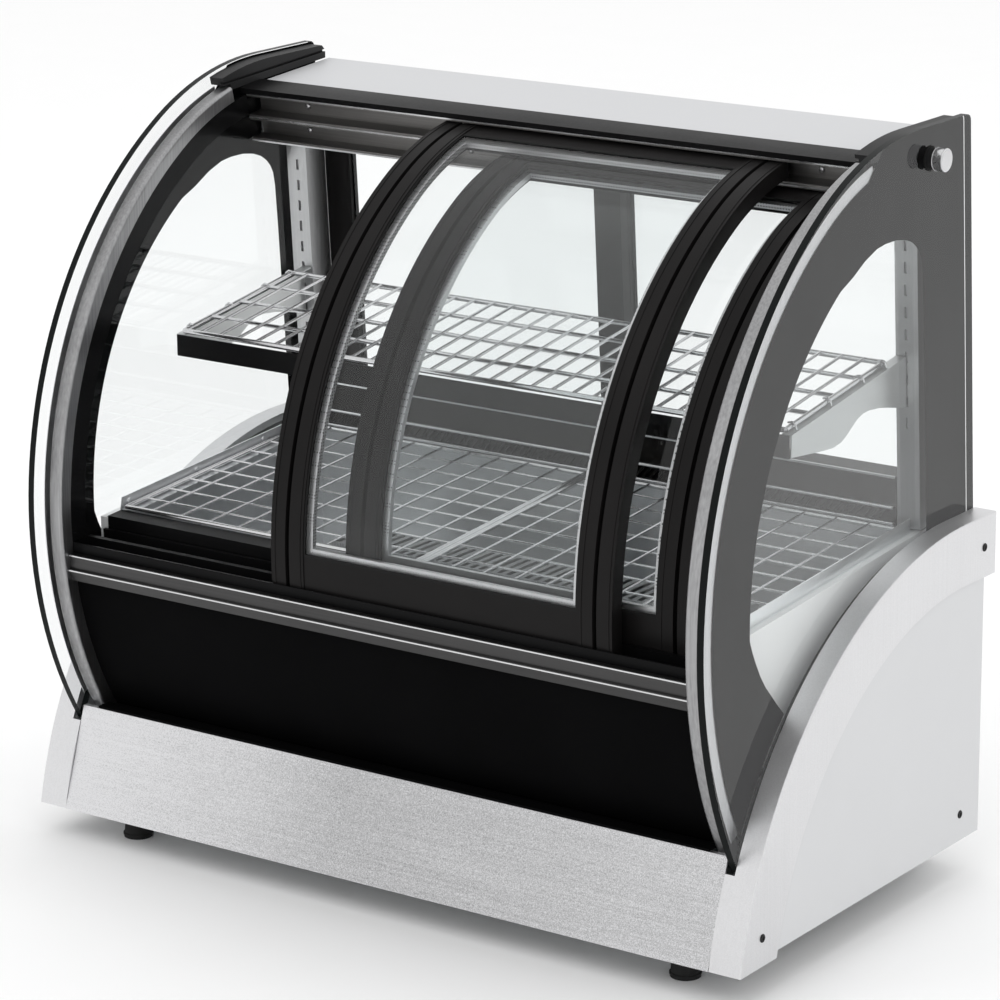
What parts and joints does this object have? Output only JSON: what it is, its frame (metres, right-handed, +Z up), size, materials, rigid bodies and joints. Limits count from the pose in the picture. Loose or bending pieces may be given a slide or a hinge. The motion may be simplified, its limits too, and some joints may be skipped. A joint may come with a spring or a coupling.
{
  "type": "curved countertop display case",
  "caption": "Countertop refrigerated bakery display case with a curved glass front, sliding curved front doors, sliding rear doors, a wire shelf and wire deck racks.",
  "frame": {"origin": "middle of the footprint's bounding box, on the surface the feet stand on", "axes": "+X towards the viewer's right when facing the glass front, +Y towards the rear doors, +Z up"},
  "size_m": [0.9164, 0.5359, 0.8229],
  "materials": {
    "brushed_silver": "brushed",
    "grey_sheet": "satin",
    "black_fixings": "satin",
    "galvanised": "matt",
    "rubber": "matt",
    "black_sheet": "satin",
    "dark_aluminium": "brushed",
    "silver_aluminium": "brushed",
    "spacer_bar": "bright",
    "black_profile": "satin",
    "black_plastic": "fine texture",
    "switch_plastic": "gloss",
    "chrome": "polished",
    "side_glass": "clear",
    "clear_glass": "clear",
    "white_casing": "satin",
    "white_liner": "satin",
    "lamp_lens": "translucent",
    "compressor_paint": "gloss",
    "fins": "bright"
  },
  "bodies": {
    "case": {"kick_panel": "brushed_silver", "arch_trim_left": "brushed_silver", "arch_trim_right": "brushed_silver", "side_panels": "grey_sheet", "top_panel": "grey_sheet", "side_screws": "black_fixings", "base_pan": "galvanised", "rear_cover": "galvanised", "rubber_feet": "rubber", "front_lower_panel": "black_sheet", "top_front_trim": "black_sheet", "shelf_front_bar": "black_sheet", "door_jamb_left": "black_sheet", "door_jamb_right": "black_sheet", "rear_air_duct": "black_sheet", "air_grille": "black_sheet", "lower_door_track": "dark_aluminium", "upper_door_track": "dark_aluminium", "sill_rail": "dark_aluminium", "side_bow_left": "silver_aluminium", "side_bow_right": "silver_aluminium", "rear_post_left": "silver_aluminium", "rear_post_right": "silver_aluminium", "rear_lower_track": "silver_aluminium", "rear_upper_track": "silver_aluminium", "shelf_brackets": "silver_aluminium", "glass_caps": "black_plastic", "stud_collars": "black_plastic", "fan_motor": "black_plastic", "fan_shroud": "black_plastic", "control_box": "black_plastic", "rear_fittings": "black_plastic", "stud_caps": "chrome", "deck_rack_left": "chrome", "deck_rack_right": "chrome", "wire_shelf": "chrome", "side_glass_left": "side_glass", "side_glass_right": "side_glass", "inner_panes": "clear_glass", "insulated_casing": "white_casing", "tub_liner": "white_liner", "ceiling_liner": "white_liner", "lamp_lens": "lamp_lens", "compressor": "compressor_paint", "condenser_coil": "fins", "evaporator_coil": "fins"},
    "outer_door": {"outer_door_stiles": "black_profile", "outer_door_rails": "black_profile", "outer_door_glass": "clear_glass", "outer_door_spacer": "spacer_bar"},
    "inner_door": {"inner_door_stiles": "black_profile", "inner_door_rails": "black_profile", "inner_door_glass": "clear_glass", "inner_door_spacer": "spacer_bar"},
    "rear_left_door": {"rear_door_frame_left": "black_profile", "rear_door_glass_left": "clear_glass"},
    "rear_right_door": {"rear_door_frame_right": "black_profile", "rear_door_glass_right": "clear_glass"},
    "fan_rotor": {"condenser_fan": "black_plastic"},
    "switch_rocker": {"power_switch": "switch_plastic"}
  },
  "joints": [
    {"name": "outer_door_slide", "type": "slide", "parent": "case", "child": "outer_door", "axis": [1, 0, 0], "range_m": [-0.2705, 0.0965]},
    {"name": "inner_door_slide", "type": "slide", "parent": "case", "child": "inner_door", "axis": [1, 0, 0], "range_m": [-0.348, 0.019]},
    {"name": "rear_left_door_slide", "type": "slide", "parent": "case", "child": "rear_left_door", "axis": [1, 0, 0], "range_m": [0, 0.366]},
    {"name": "rear_right_door_slide", "type": "slide", "parent": "case", "child": "rear_right_door", "axis": [1, 0, 0], "range_m": [-0.366, 0]},
    {"name": "condenser_fan_spin", "type": "hinge", "parent": "case", "child": "fan_rotor", "pos_m": [0.15, 0.164, 0.125], "axis": [0, 1, 0], "continuous": true},
    {"name": "power_switch_rock", "type": "hinge", "parent": "case", "child": "switch_rocker", "pos_m": [-0.38, 0.2395, 0.133], "axis": [1, 0, 0], "range_deg": [-8, 0]}
  ]
}
